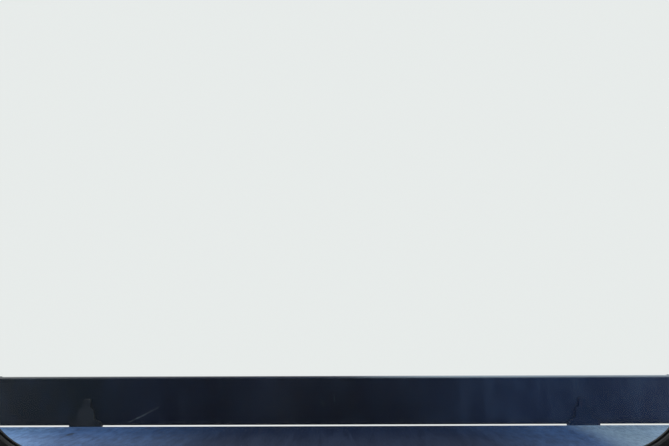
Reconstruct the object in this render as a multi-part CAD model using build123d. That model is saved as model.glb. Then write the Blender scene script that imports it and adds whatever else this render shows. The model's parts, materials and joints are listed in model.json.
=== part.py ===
from build123d import *
import os
from math import asin, atan2, cos, degrees, hypot, radians, sin, sqrt, tan

# Uphill end of a funicular car: end wall with its raked windscreen, the ledge in front of it and
# the guard beam across the ledge. Millimetres. X runs across the car, Y out of the end, Z up.
# The origin is on the flat rear face of the sill, on the car's centre line.

# Driving dimensions of the body. The roof's depth is taken at the top of the windscreen's surround.
BODY_WIDTH = 2400
ROOF_DEPTH = 99.0909
SHEET = 4
SEAM = 2
CLEARANCE = 0.3
CORNER_BEND = 40
RETURN_DEPTH = 60
SWAGE_HEIGHT = 5
SWAGE_WIDTH = 34
SWAGE_TAPER = 40
SWAGE_LENGTHS = (1240, 1960)
SWAGE_DROPS = (320, 620)

# Windscreen: daylight opening, glass and rubber section
DAYLIGHT_WIDTH = 1780
DAYLIGHT_HEIGHT = 1380
DAYLIGHT_RADIUS = 180
SCREEN_RAKE = 9
SCREEN_FOOT_Z = 1070
GLASS_THICKNESS = 8
GLASS_BITE = 12
RUBBER_WIDTH = 30
RUBBER_WEB = 6
RUBBER_LIP = 8
RUBBER_CHAMFER = 3

# Steel frame
SILL_HEIGHT = 140
SILL_WALL = 6
PILLAR_WIDTH = 90
PILLAR_WALL = 6
RIB_THICKNESS = 6
RIB_HEIGHTS = (500, 1100, 1700, 2300)
BOLT_RADIUS = 9
BOLT_HEIGHTS = (200, 800, 1400, 2000)
WAIST_SIZE = 100
WAIST_DROP = 40
TUBE_WALL = 5
HEADER_HEIGHT = 70
ROOF_RAIL_DEPTH = 40
HEADER_DEPTH = 45
HEADER_EDGE = 5
POST_WIDTH = 80
POST_X = 380
BEARER_WIDTH = 40
BEARER_HEIGHT = 60
FRONT_RAIL_DEPTH = 50
GUSSET_THICKNESS = 10
GUSSET_HEIGHT = 410
GUSSET_TOE = 38
GUSSET_HOLE_RADIUS = 68
SKIRT_RAIL_SIZE = 40
SKIRT_LIFT = 4

# Skin
SURROUND_LAP = 14
BROW_HEIGHT = 66
BROW_RADIUS = 60
DRIP_LIP = 12
LEDGE_STEP = 1
LEDGE_EDGE_Y = 795
LEDGE_FLANGE = 120
LEDGE_EDGE_RADIUS = 6
APRON_RAKE = 5
APRON_LAP = 30

# Guard beam and its brackets
BEAM_HEIGHT = 158
BEAM_DEPTH = 40
BEAM_WALL = 4
BEAM_CORNER = 8
BEAM_LENGTH = 2360
BEAM_CAP = 6
BEAM_GAP = 10
BEAM_LIFT = 0
BRACKET_X = 851
BRACKET_WIDTH = 84
BRACKET_DROP = 110
LUG_FOOT_WIDTH = 106
LUG_FOOT_HEIGHT = 12
LUG_WIDTH = 58
LUG_FLARE = 24
LUG_SHOULDER_WIDTH = 50
LUG_SHOULDER = 54
LUG_TIP_WIDTH = 26
LUG_NECK = 62
LUG_HEIGHT = 88
LUG_ROUND = 5
SEAT_THICKNESS = 10
SEAT_REACH = 36
BRACKET_BOLT_RADIUS = 7
BRACKET_BOLT_X = 26
BRACKET_BOLT_DROP = 55

# Headlamps
LAMP_X = 820
LAMP_DROP = 320
LAMP_RADIUS = 90
LAMP_FLANGE = 12
LAMP_WALL = 4
HOLDER_RADIUS = 14
HOLDER_HEIGHT = 24
RIM_HEIGHT = 12
RIM_CHAMFER = 8
RIM_LIP = 8
LENS_LAP = 1
LENS_RISE = 12
LENS_THICKNESS = 5
DOME_STEPS = 5

# Wiper, parked along the top of the glass
WIPER_X = -500
WIPER_LIFT = 31
WIPER_REACH_X = 730
WIPER_PARK_DROP = 45
SPINDLE_RADIUS = 8
SPINDLE_CLEARANCE = 0.05
BOSS_RADIUS = 14
BOSS_HEIGHT = 14
BOSS_NUT_RADIUS = 22
BOSS_NUT_HEIGHT = 9
HUB_RADIUS = 19
HUB_LOW = 20
HUB_CAP = 3
HEAD_LENGTH = 120
HEAD_WIDTH = 30
ARM_UNDER = 28
ARM_HEIGHT = 10
ARM_WALL = 2
ARM_WIDTH = 24
ARM_TIP_WIDTH = 14
BLADE_LENGTH = 800
YOKE_WIDTH = 9
YOKE_THICKNESS = 3
YOKE_RISE = 4
CLAW_LENGTH = 12
CLAW_WALL = 2
CLAW_SPACING = 200
SPINE_WIDTH = 9
SPINE_THICKNESS = 3
RUBBER_EDGE = 0.5
RUBBER_HEIGHT = 13
MOTOR_RADIUS = 22
MOTOR_GAP = 1.5
MOTOR_LENGTH = 150
GEARBOX_WIDTH = 150
GEARBOX_DEPTH = 40

# Inside finish
LINING = 12
TRIM = 8
LINING_GROOVE = 6
LINING_INNER_X = 760
LINING_TAIL = 28
HEADER_TRIM = 4
SOFFIT = 3
BOARD_THICKNESS = 20
BOARD_DEPTH = 134
BOARD_NOSE = 9
VENT_LENGTH = 200
VENT_WIDTH = 7
VENT_DEPTH = 12
VENT_PITCH = 290
VENT_COUNT = 6
VENT_INSET = 26

# Places worked out from the sizes above
HALF_WIDTH = BODY_WIDTH / 2
PANEL_X = HALF_WIDTH - SHEET
PILLAR_OUT = PANEL_X - SHEET
PILLAR_IN = PILLAR_OUT - PILLAR_WIDTH
SILL_TOP = SILL_HEIGHT / 2
SILL_BOTTOM = -SILL_HEIGHT / 2
SKIN_OUT = -(GLASS_THICKNESS - SHEET) / 2
SKIN_IN = SKIN_OUT - SHEET
MOTOR_SPACE = 2 * (MOTOR_RADIUS + MOTOR_GAP + SHEET)
HEADER_CLEARANCE = RUBBER_WIDTH + MOTOR_SPACE
WIPER_RISE = RUBBER_WIDTH + WIPER_LIFT
LEDGE_DROP = RUBBER_WIDTH + LEDGE_STEP
SURROUND_TOP = HEADER_CLEARANCE + HEADER_HEIGHT + HEADER_EDGE
SURROUND_DROP = LEDGE_DROP + SURROUND_LAP
SURROUND_HIGH = DAYLIGHT_HEIGHT + SURROUND_TOP
SCREEN_TILT = radians(SCREEN_RAKE)
APRON_TILT = radians(APRON_RAKE)
SCREEN_FOOT_Y = ROOF_DEPTH + SURROUND_HIGH * sin(SCREEN_TILT)
SILL_DEPTH = SCREEN_FOOT_Y
LENS_RADIUS = LAMP_RADIUS - LAMP_WALL + LENS_LAP
APERTURE = GLASS_BITE + RUBBER_WEB + CLEARANCE
LEDGE_TOP = SCREEN_FOOT_Z - LEDGE_DROP
LEDGE_UNDER = LEDGE_TOP - SHEET
FLANGE_IN_Y = LEDGE_EDGE_Y - SHEET
WAIST_TOP = SCREEN_FOOT_Z - WAIST_DROP
APRON_TOP = LEDGE_TOP - LEDGE_FLANGE + APRON_LAP
BEAM_BACK = LEDGE_EDGE_Y + BEAM_GAP
BEAM_BOTTOM = LEDGE_TOP + BEAM_LIFT
APRON_LENGTH = (APRON_TOP - SILL_BOTTOM) / cos(APRON_TILT)
ARM_TOP = ARM_UNDER + ARM_HEIGHT
BLADE_DROP = WIPER_RISE + WIPER_PARK_DROP
GEARBOX_LOW = RUBBER_WIDTH + SHEET - WIPER_RISE
GEARBOX_HIGH = HEADER_CLEARANCE - WIPER_RISE - SHEET
SOFFIT_HIGH = DAYLIGHT_HEIGHT + WIPER_RISE + GEARBOX_LOW - CLEARANCE
SOFFIT_LOW = SOFFIT_HIGH - SOFFIT

# The two tilted frames: X across, Y up the panel, Z into the car
SCREEN = Plane(
    origin=(0, SCREEN_FOOT_Y, SCREEN_FOOT_Z),
    x_dir=(1, 0, 0),
    z_dir=(0, -cos(SCREEN_TILT), -sin(SCREEN_TILT)),
)
APRON = Plane(
    origin=(0, FLANGE_IN_Y - CLEARANCE, APRON_TOP),
    x_dir=(1, 0, 0),
    z_dir=(0, -cos(APRON_TILT), sin(APRON_TILT)),
)


def on_screen(up, out=0.0):
    """Y and Z of a point up the glass and out from its outer face."""
    y = SCREEN_FOOT_Y - up * sin(SCREEN_TILT) + out * cos(SCREEN_TILT)
    z = SCREEN_FOOT_Z + up * cos(SCREEN_TILT) + out * sin(SCREEN_TILT)
    return y, z


def screen_y(z, out=0.0):
    """Y of the plane parallel to the glass, out from its outer face, at a height."""
    return SCREEN_FOOT_Y - (z - SCREEN_FOOT_Z) * tan(SCREEN_TILT) + out / cos(SCREEN_TILT)


def apron_y(z, out=0.0):
    """Y of the plane parallel to the apron, out from its outer face, at a height."""
    return FLANGE_IN_Y - CLEARANCE + (z - APRON_TOP) * tan(APRON_TILT) + out / cos(APRON_TILT)


def bar(x, y, z):
    """A block between a low and a high value on each axis."""
    middle = [(low + high) / 2 for low, high in (x, y, z)]
    size = [high - low for low, high in (x, y, z)]
    return Pos(*middle) * Box(*size)


def panel_block(frame, x, up, out):
    """A block in a tilted frame: across, up the panel, and out from the panel's outer face."""
    return frame * bar(x, up, (-out[1], -out[0]))


def box_tube(axis, x, y, z, wall, rounded=True):
    """A rectangular steel tube, mostly with rounded corners, open at both ends of its axis."""
    ranges = {Axis.X: x, Axis.Y: y, Axis.Z: z}
    outer = bar(x, y, z)
    inner = bar(*[r if a == axis else (r[0] + wall, r[1] - wall) for a, r in ranges.items()])
    return (fillet(outer.edges().filter_by(axis), 2 * wall) if rounded else outer) - inner


def facing(part, direction):
    """The flat face of a part that looks most nearly in a direction."""
    flats = part.faces().filter_by(GeomType.PLANE)
    return max(flats, key=lambda face: face.normal_at().dot(Vector(*direction)))


def side_prism(points, x_from, x_to):
    """A side outline of Y and Z points, extruded across the car."""
    outline = Polyline(*[(x_from, y, z) for y, z in points], close=True)
    return extrude(make_face(outline), amount=x_to - x_from, dir=(1, 0, 0))


def both_sides(part):
    """The right-hand part and its mirror image on the left."""
    return {"right": part, "left": mirror(part, about=Plane.YZ)}


def opening(grow, out_from, depth):
    """The windscreen's rounded opening, grown all round, as a block that runs into the car."""
    size = (DAYLIGHT_WIDTH + 2 * grow, DAYLIGHT_HEIGHT + 2 * grow)
    outline = RectangleRounded(*size, DAYLIGHT_RADIUS + grow)
    return extrude(SCREEN * Pos(0, DAYLIGHT_HEIGHT / 2, -out_from) * outline, amount=depth)


def sill_beam():
    return box_tube(
        Axis.X, (-PILLAR_IN, PILLAR_IN), (0, SILL_DEPTH), (SILL_BOTTOM, SILL_TOP), SILL_WALL
    )


def pillar():
    """Channel open towards the inside, with ribs, joint plates for the cross beams and bolt holes."""
    top_y, top_z = on_screen(SURROUND_HIGH, SKIN_IN)
    knee_out = SCREEN_FOOT_Y - SILL_DEPTH + SKIN_IN / cos(SCREEN_TILT)
    knee_z = SCREEN_FOOT_Z + knee_out / tan(SCREEN_TILT)
    outline = [
        (0, SILL_BOTTOM),
        (SILL_DEPTH, SILL_BOTTOM),
        (SILL_DEPTH, knee_z),
        (top_y, top_z),
        (0, top_z),
    ]
    inset = [
        (PILLAR_WALL, SILL_BOTTOM + PILLAR_WALL),
        (SILL_DEPTH - PILLAR_WALL, SILL_BOTTOM + PILLAR_WALL),
        (SILL_DEPTH - PILLAR_WALL, knee_z),
        (screen_y(top_z - PILLAR_WALL, SKIN_IN - PILLAR_WALL), top_z - PILLAR_WALL),
        (PILLAR_WALL, top_z - PILLAR_WALL),
    ]
    blank = side_prism(outline, PILLAR_IN, PILLAR_OUT)
    two_front_edges = blank.faces().sort_by(Axis.X)[-1].edges().sort_by(SortBy.LENGTH)[-3:-1]
    blank = fillet(two_front_edges, CORNER_BEND - SHEET + CLEARANCE)
    channel = blank - side_prism(inset, PILLAR_IN, PILLAR_OUT - PILLAR_WALL)
    for z in RIB_HEIGHTS:
        channel += blank & bar((PILLAR_IN, PILLAR_OUT), (0, 2 * SILL_DEPTH), (z, z + RIB_THICKNESS))
    for levels in joint_levels():
        channel += blank & bar((PILLAR_IN, PILLAR_IN + PILLAR_WALL), (0, 2 * SILL_DEPTH), levels)
    for z in BOLT_HEIGHTS:
        drill = Pos((PILLAR_IN + PILLAR_OUT) / 2, PILLAR_WALL / 2, z) * Rot(90, 0, 0)
        channel -= drill * Cylinder(BOLT_RADIUS, 2 * PILLAR_WALL)
    return channel


def joint_levels():
    """Low and high of the plates that the sill, the waist beam and the header are welded to."""
    header_low = on_screen(DAYLIGHT_HEIGHT + HEADER_CLEARANCE, SKIN_IN - HEADER_DEPTH)[1]
    return (
        (SILL_BOTTOM, SILL_TOP),
        (WAIST_TOP - WAIST_SIZE, WAIST_TOP),
        (header_low, on_screen(SURROUND_HIGH, SKIN_IN)[1]),
    )


def waist_beam():
    y = (SILL_DEPTH - WAIST_SIZE, SILL_DEPTH)
    z = (WAIST_TOP - WAIST_SIZE, WAIST_TOP)
    return box_tube(Axis.X, (-PILLAR_IN, PILLAR_IN), y, z, TUBE_WALL)


def header_beam():
    low = DAYLIGHT_HEIGHT + HEADER_CLEARANCE
    across = (-PILLAR_IN, PILLAR_IN)
    up, out = (low, low + HEADER_HEIGHT), (SKIN_IN - HEADER_DEPTH, SKIN_IN)
    up_in, out_in = [(r[0] + TUBE_WALL, r[1] - TUBE_WALL) for r in (up, out)]
    outer = fillet(panel_block(SCREEN, across, up, out).edges().filter_by(Axis.X), 2 * TUBE_WALL)
    return outer - panel_block(SCREEN, across, up_in, out_in)


def roof_rail():
    low = on_screen(SURROUND_HIGH, SKIN_IN)[1]
    high = brow_top() - SHEET
    deep = (TUBE_WALL, TUBE_WALL + ROOF_RAIL_DEPTH)
    return box_tube(Axis.X, (-PILLAR_OUT + SHEET, PILLAR_OUT - SHEET), deep, (low, high), TUBE_WALL)


def brow_top():
    return on_screen(SURROUND_HIGH, SKIN_OUT)[1] + BROW_HEIGHT


def roof_brow():
    """Rounded end of the roof above the surround: a sheet with closed ends and a drip lip."""
    low = on_screen(SURROUND_HIGH, SKIN_OUT)[1] + SEAM
    high = brow_top()
    front = screen_y(low, SKIN_OUT)
    outline = [(0, low), (front, low), (screen_y(high, SKIN_OUT), high), (0, high)]
    blank = side_prism(outline, -PANEL_X, PANEL_X)
    front_top = blank.edges().filter_by(Axis.X).sort_by(Axis.Z)[-2:].sort_by(Axis.Y)[-1]
    blank = fillet(front_top, BROW_RADIUS)
    shell = offset(blank, amount=-SHEET, openings=[facing(blank, (0, -1, 0)), facing(blank, (0, 0, -1))])
    lip_high = low + DRIP_LIP
    lip = [
        (screen_y(low, SKIN_OUT), low),
        (front + DRIP_LIP, low),
        (front + DRIP_LIP, low + SHEET / 2),
        (screen_y(lip_high, SKIN_OUT), lip_high),
    ]
    return shell + side_prism(lip, -PANEL_X, PANEL_X)


def lower_posts():
    z = (SILL_TOP, WAIST_TOP - WAIST_SIZE)
    y = (SILL_DEPTH - POST_WIDTH, SILL_DEPTH)
    x = (POST_X - POST_WIDTH / 2, POST_X + POST_WIDTH / 2)
    return pair(box_tube(Axis.Z, x, y, z, TUBE_WALL))


def pair(part):
    """One node of a right-hand solid and its mirror image."""
    return Compound(children=[part, mirror(part, about=Plane.YZ)])


def bearer_places():
    return (POST_X, (PILLAR_IN + PILLAR_OUT) / 2)


def ledge_bearers():
    y = (SILL_DEPTH, FLANGE_IN_Y - FRONT_RAIL_DEPTH)
    z = (LEDGE_UNDER - BEARER_HEIGHT, LEDGE_UNDER)
    across = (-HALF_WIDTH, HALF_WIDTH)
    cope = panel_block(SCREEN, across, (-SURROUND_DROP - SEAM, 0), (SKIN_IN - SHEET, 2 * SHEET))
    tubes = []
    for x in bearer_places():
        tube = box_tube(Axis.Y, (x - BEARER_WIDTH / 2, x + BEARER_WIDTH / 2), y, z, TUBE_WALL) - cope
        tubes += [tube, mirror(tube, about=Plane.YZ)]
    return Compound(children=tubes)


def nose_front_rail():
    end = PANEL_X - CORNER_BEND
    y = (FLANGE_IN_Y - FRONT_RAIL_DEPTH, FLANGE_IN_Y)
    return box_tube(Axis.X, (-end, end), y, (LEDGE_UNDER - BEARER_HEIGHT, LEDGE_UNDER), TUBE_WALL)


def ledge_gussets():
    """Triangular plates under the bearers, each with a rounded lightening hole."""
    top = LEDGE_UNDER - BEARER_HEIGHT
    front = FLANGE_IN_Y - FRONT_RAIL_DEPTH
    outline = [
        (SILL_DEPTH, top - GUSSET_HEIGHT),
        (SILL_DEPTH + GUSSET_TOE, top - GUSSET_HEIGHT),
        (front, top - GUSSET_TOE),
        (front, top),
        (SILL_DEPTH, top),
    ]
    middle = (SILL_DEPTH + (front - SILL_DEPTH) / 3, top - GUSSET_HEIGHT / 3)
    plates = []
    for x in bearer_places():
        plate = side_prism(outline, x - GUSSET_THICKNESS / 2, x + GUSSET_THICKNESS / 2)
        plate -= Pos(x, *middle) * Rot(0, 90, 0) * Cylinder(GUSSET_HOLE_RADIUS, 2 * GUSSET_THICKNESS)
        plates += [plate, mirror(plate, about=Plane.YZ)]
    return Compound(children=plates)


def skirt_z():
    low = SILL_BOTTOM + SKIRT_LIFT
    return low, low + SKIRT_RAIL_SIZE


def skirt_rail():
    front = apron_y(skirt_z()[0], -SHEET) - CLEARANCE
    end = PANEL_X - CORNER_BEND
    return box_tube(Axis.X, (-end, end), (front - SKIRT_RAIL_SIZE, front), skirt_z(), SHEET, False)


def skirt_arms():
    rear = apron_y(skirt_z()[0], -SHEET) - CLEARANCE - SKIRT_RAIL_SIZE
    arms = []
    for x in bearer_places():
        across = (x - SKIRT_RAIL_SIZE / 2, x + SKIRT_RAIL_SIZE / 2)
        arm = box_tube(Axis.Y, across, (SILL_DEPTH, rear), skirt_z(), SHEET, False)
        arms += [arm, mirror(arm, about=Plane.YZ)]
    return Compound(children=arms)


def front_ledge():
    """Sheet ledge in front of the glass, folded down at its front and ends."""
    rear = screen_y(SCREEN_FOOT_Z - SURROUND_DROP, SKIN_OUT) + CLEARANCE
    blank = bar((-HALF_WIDTH, HALF_WIDTH), (rear, LEDGE_EDGE_Y), (LEDGE_TOP - LEDGE_FLANGE, LEDGE_TOP))
    corners = blank.edges().filter_by(Axis.Z).sort_by(Axis.Y)[-2:]
    blank = fillet(corners, CORNER_BEND)
    top = blank.faces().sort_by(Axis.Z)[-1]
    rims = [e for e in top.edges() if e.center().Y > rear + 1]
    blank = fillet(rims, LEDGE_EDGE_RADIUS)
    return offset(blank, amount=-SHEET, openings=[facing(blank, (0, -1, 0)), facing(blank, (0, 0, -1))])


def bent_block(across, up, deep, radius, both_bent):
    """A block whose right outer edge, and perhaps its left one, is rounded."""
    block = bar(across, up, deep)
    outer_edges = block.edges().filter_by(Axis.Y).group_by(Axis.Z)[0].sort_by(Axis.X)
    return fillet(outer_edges if both_bent else outer_edges[-1:], radius)


def folded_sheet(frame, x, up, out, both_bent=True):
    """A sheet in a tilted frame, its right side and perhaps its left folded back round a bend."""
    left, right = x
    inner_left = left + SHEET if both_bent else left
    outer = bent_block(x, up, (-out, RETURN_DEPTH - out), CORNER_BEND, both_bent)
    inner_deep = (SHEET - out, RETURN_DEPTH - out)
    inner = bent_block((inner_left, right - SHEET), up, inner_deep, CORNER_BEND - SHEET, both_bent)
    return frame * (outer - inner)


def swage(length, drop):
    """A pressed rib of the apron as the sheet's outer form and the hollow behind it."""
    outline = SlotOverall(length, SWAGE_WIDTH)
    form = Rot(180, 0, 0) * extrude(outline, amount=SWAGE_HEIGHT, taper=SWAGE_TAPER)
    return APRON * Pos(0, -drop, 0) * form, APRON * Pos(0, -drop, SHEET) * form


def apron_panel():
    """Sheet apron with two pressed ribs and the openings for the headlamps."""
    end = PANEL_X - CLEARANCE
    panel = folded_sheet(APRON, (-end, end), (-APRON_LENGTH, 0), 0)
    for length, drop in zip(SWAGE_LENGTHS, SWAGE_DROPS):
        raised, hollow = swage(length, drop)
        panel = panel + raised - hollow
    for side in (-1, 1):
        panel -= APRON * Pos(side * LAMP_X, -LAMP_DROP, 0) * Cylinder(LAMP_RADIUS + SEAM, 6 * SHEET)
    return panel


def side_panel():
    """Flat side sheet behind the folded returns of the surround and the apron."""
    behind_apron = -RETURN_DEPTH - SEAM
    behind_surround = SKIN_OUT - RETURN_DEPTH - SEAM
    knee_z = on_screen(-SURROUND_DROP, behind_surround)[1] - SEAM
    top_y, top_z = on_screen(SURROUND_HIGH, behind_surround)
    outline = [
        (0, SILL_BOTTOM),
        (apron_y(SILL_BOTTOM, behind_apron), SILL_BOTTOM),
        (apron_y(knee_z, behind_apron), knee_z),
        (screen_y(knee_z, behind_surround), knee_z),
        (top_y, top_z),
        (0, top_z),
    ]
    return side_prism(outline, PILLAR_OUT, PANEL_X)


def side_surround():
    """Folded sheet beside the glass, with two of the opening's round corners."""
    inner_x = DAYLIGHT_WIDTH / 2 - DAYLIGHT_RADIUS + SEAM / 2
    up = (-SURROUND_DROP, SURROUND_HIGH)
    sheet = folded_sheet(SCREEN, (inner_x, PANEL_X), up, SKIN_OUT, both_bent=False)
    return sheet - opening(APERTURE, RUBBER_LIP, 4 * RUBBER_WIDTH)


def screen_strip(low, high):
    end = DAYLIGHT_WIDTH / 2 - DAYLIGHT_RADIUS - SEAM / 2
    return panel_block(SCREEN, (-end, end), (low, high), (SKIN_IN, SKIN_OUT))


def screen_gasket():
    """Rubber ring of H section: one groove holds the glass, the other grips the sheet."""
    depth = GLASS_THICKNESS + 2 * RUBBER_LIP
    ring = opening(RUBBER_WIDTH, RUBBER_LIP, depth) - opening(0, RUBBER_LIP, depth)
    two_sides = ring.faces().filter_by(GeomType.PLANE).sort_by(SortBy.AREA)[-2:]
    ring = chamfer([edge for side in two_sides for edge in side.edges()], RUBBER_CHAMFER)
    sheet_slot = opening(2 * RUBBER_WIDTH, SKIN_OUT, SHEET)
    sheet_slot -= opening(APERTURE - CLEARANCE, SKIN_OUT, SHEET)
    return ring - opening(GLASS_BITE, 0, GLASS_THICKNESS) - sheet_slot


def windscreen_glass():
    return opening(GLASS_BITE - CLEARANCE, 0, GLASS_THICKNESS)


def guard_beam():
    """Rolled rectangular tube across the front of the ledge."""
    half = BEAM_LENGTH / 2
    y, z = (BEAM_BACK, BEAM_BACK + BEAM_DEPTH), (BEAM_BOTTOM, BEAM_BOTTOM + BEAM_HEIGHT)
    outer = fillet(bar((-half, half), y, z).edges().filter_by(Axis.X), BEAM_CORNER)
    y_in, z_in = [(r[0] + BEAM_WALL, r[1] - BEAM_WALL) for r in (y, z)]
    inner = bar((-half, half), y_in, z_in)
    return outer - fillet(inner.edges().filter_by(Axis.X), BEAM_CORNER - BEAM_WALL)


def beam_cap():
    end = BEAM_LENGTH / 2
    z = (BEAM_BOTTOM, BEAM_BOTTOM + BEAM_HEIGHT)
    cap = bar((end, end + BEAM_CAP), (BEAM_BACK, BEAM_BACK + BEAM_DEPTH), z)
    return fillet(cap.edges().filter_by(Axis.X), BEAM_CORNER)


def beam_bracket():
    """Bolted plate between ledge and beam, with a flared lug up the beam's back and a seat under it."""
    half = BRACKET_WIDTH / 2
    low, root = LEDGE_TOP - BRACKET_DROP, BEAM_BOTTOM
    half_outline = [
        (half, low),
        (half, root - SHEET),
        (LUG_FOOT_WIDTH / 2, root - SHEET),
        (LUG_FOOT_WIDTH / 2, root + LUG_FOOT_HEIGHT),
        (LUG_WIDTH / 2, root + LUG_FLARE),
        (LUG_SHOULDER_WIDTH / 2, root + LUG_SHOULDER),
        (LUG_TIP_WIDTH / 2, root + LUG_NECK),
        (LUG_TIP_WIDTH / 2, root + LUG_HEIGHT),
    ]
    points = half_outline + [(-x, z) for x, z in reversed(half_outline)]
    outline = make_face(Polyline(*[(BRACKET_X + x, LEDGE_EDGE_Y, z) for x, z in points], close=True))
    levels = outline.vertices().group_by(Axis.Z)
    outline = fillet(levels[0] + levels[2] + levels[-1], LUG_ROUND)
    plate = extrude(outline, amount=BEAM_GAP, dir=(0, 1, 0))
    for side in (-1, 1):
        place = Pos(BRACKET_X + side * BRACKET_BOLT_X, LEDGE_EDGE_Y, LEDGE_TOP - BRACKET_BOLT_DROP)
        plate -= place * Rot(90, 0, 0) * Cylinder(BRACKET_BOLT_RADIUS, 4 * BEAM_GAP)
    under = BEAM_BOTTOM - SEAT_THICKNESS
    seat_y = (BEAM_BACK, BEAM_BACK + SEAT_REACH)
    seat = bar((BRACKET_X - half, BRACKET_X + half), seat_y, (under, BEAM_BOTTOM))
    web = [(BEAM_BACK, low + SEAT_THICKNESS), (BEAM_BACK + SEAT_REACH, under), (BEAM_BACK, under)]
    rib = side_prism(web, BRACKET_X - SEAT_THICKNESS / 2, BRACKET_X + SEAT_THICKNESS / 2)
    return plate + seat + rib


def turned(points, side_x):
    """A lamp piece: an outline of radius and depth, turned about the lamp's axis on the apron."""
    blank = revolve(Plane.XZ * make_face(Polyline(*points, close=True)), Axis.Z)
    return APRON * Pos(side_x, -LAMP_DROP, 0) * blank


def dome(radius, centre, to_radius, from_radius=0.0):
    """Points of a dome's section about a depth on the axis. A minus radius domes outwards."""
    size = abs(radius)
    start, end = asin(from_radius / size), asin(to_radius / size)
    angles = [start + (end - start) * n / DOME_STEPS for n in range(DOME_STEPS + 1)]
    return [(size * sin(angle), centre + radius * cos(angle)) for angle in angles]


def headlamp_can(side_x):
    """Flanged bowl with the bulb's holder in its middle."""
    outer, inner = LAMP_RADIUS, LAMP_RADIUS - LAMP_WALL
    flange = outer + LAMP_FLANGE
    edge = [(flange, 0), (flange, -SHEET), (inner, -SHEET)]
    holder = [(HOLDER_RADIUS, inner - HOLDER_HEIGHT), (0, inner - HOLDER_HEIGHT)]
    bowl = reversed(dome(inner, 0, inner, HOLDER_RADIUS))
    return turned([*dome(outer, 0, outer), *edge, *bowl, *holder], side_x)


def headlamp_rim(side_x):
    """Ring over the can's flange that holds the lens by its flat edge."""
    outer, seat = LAMP_RADIUS + LAMP_FLANGE + SHEET, LENS_RADIUS + CLEARANCE
    inner, top = LENS_RADIUS - RIM_LIP, SHEET + RIM_HEIGHT
    profile = [
        (outer, -SHEET),
        (outer, RIM_CHAMFER - top),
        (outer - RIM_CHAMFER, -top),
        (inner, -top),
        (inner, SHEET - top),
        (seat, SHEET - top),
        (seat, -SHEET),
    ]
    return turned(profile, side_x)


def headlamp_lens(side_x):
    """Domed glass whose flat edge is held under the rim."""
    low, high = SHEET + CLEARANCE, RIM_HEIGHT - CLEARANCE
    root = LENS_RADIUS - RIM_LIP - 1
    radius = (root**2 + LENS_RISE**2) / (2 * LENS_RISE)
    centre = radius - high - LENS_RISE
    hollow = radius - LENS_THICKNESS
    hollow_root = sqrt(hollow**2 - (low + centre) ** 2)
    edge = [(LENS_RADIUS, -high), (LENS_RADIUS, -low)]
    inside = reversed(dome(-hollow, centre, hollow_root))
    return turned([*dome(-radius, centre, root), *edge, *inside], side_x)


def wiper_frame():
    """The spindle's place: a plane on the glass, Z into the car."""
    return SCREEN * Pos(WIPER_X, DAYLIGHT_HEIGHT + WIPER_RISE, 0)


def disc(frame, radius, out_from, out_to, x=0.0, y=0.0):
    """A round piece standing on the glass plane between two heights."""
    height = out_to - out_from
    return frame * Pos(x, y, -(out_from + out_to) / 2) * Cylinder(radius, height)


def wiper_motor():
    """Gearbox and motor behind the surround, with the spindle's bearing boss and its nut outside."""
    frame = wiper_frame()
    half = GEARBOX_WIDTH / 2
    box = bar((-half, half), (GEARBOX_LOW, GEARBOX_HIGH), (-SKIN_IN, GEARBOX_DEPTH - SKIN_IN))
    box = frame * fillet(box.edges().filter_by(Axis.Z), 2 * SHEET)
    motor_depth = MOTOR_RADIUS + CLEARANCE - SKIN_IN
    middle = Pos(half + MOTOR_LENGTH / 2, (GEARBOX_LOW + GEARBOX_HIGH) / 2, motor_depth)
    motor = frame * middle * Rot(0, 90, 0) * Cylinder(MOTOR_RADIUS, MOTOR_LENGTH)
    boss = disc(frame, BOSS_RADIUS - CLEARANCE, SKIN_IN, BOSS_HEIGHT)
    hexagon = frame * Pos(0, 0, -SKIN_OUT - BOSS_NUT_HEIGHT) * RegularPolygon(BOSS_NUT_RADIUS, 6)
    nut = extrude(hexagon, amount=BOSS_NUT_HEIGHT)
    bore = disc(frame, SPINDLE_RADIUS + SPINDLE_CLEARANCE, SKIN_IN - GEARBOX_DEPTH / 2 - 1, BOSS_HEIGHT)
    return box + motor + boss + nut - bore


def wiper_spindle():
    return disc(wiper_frame(), SPINDLE_RADIUS, SKIN_IN - GEARBOX_DEPTH / 2, ARM_UNDER)


def tapered(frame, length, root, tip, out):
    """A bar that narrows along its length, between two heights above the glass."""
    start, end = length
    points = [(start, root / 2), (end, tip / 2), (end, -tip / 2), (start, -root / 2)]
    outline = frame * Pos(0, 0, -out[1]) * make_face(Polyline(*points, close=True))
    return extrude(outline, amount=out[1] - out[0])


def wiper_arm():
    """Hub and head on the spindle, and a channel arm that narrows to its foot on the blade."""
    reach = hypot(WIPER_REACH_X, BLADE_DROP)
    frame = wiper_frame() * Rot(0, 0, -degrees(atan2(BLADE_DROP, WIPER_REACH_X)))
    head_out = (HUB_LOW + HUB_CAP, ARM_TOP)
    head = tapered(frame, (0, HEAD_LENGTH), HEAD_WIDTH, ARM_WIDTH + 2 * ARM_WALL, head_out)
    channel = tapered(frame, (HEAD_LENGTH / 2, reach), ARM_WIDTH, ARM_TIP_WIDTH, (ARM_UNDER, ARM_TOP))
    inside = (ARM_WIDTH - 2 * ARM_WALL, ARM_TIP_WIDTH - 2 * ARM_WALL)
    channel -= tapered(frame, (HEAD_LENGTH, reach), *inside, (ARM_UNDER, ARM_TOP - ARM_WALL))
    hub = disc(frame, HUB_RADIUS, HUB_LOW, ARM_TOP + HUB_CAP)
    foot = disc(frame, ARM_TIP_WIDTH / 2 + ARM_WALL, ARM_UNDER, ARM_TOP, reach)
    bore = disc(frame, SPINDLE_RADIUS + SPINDLE_CLEARANCE, HUB_LOW, ARM_UNDER)
    return head + channel + hub + foot - bore


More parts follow.
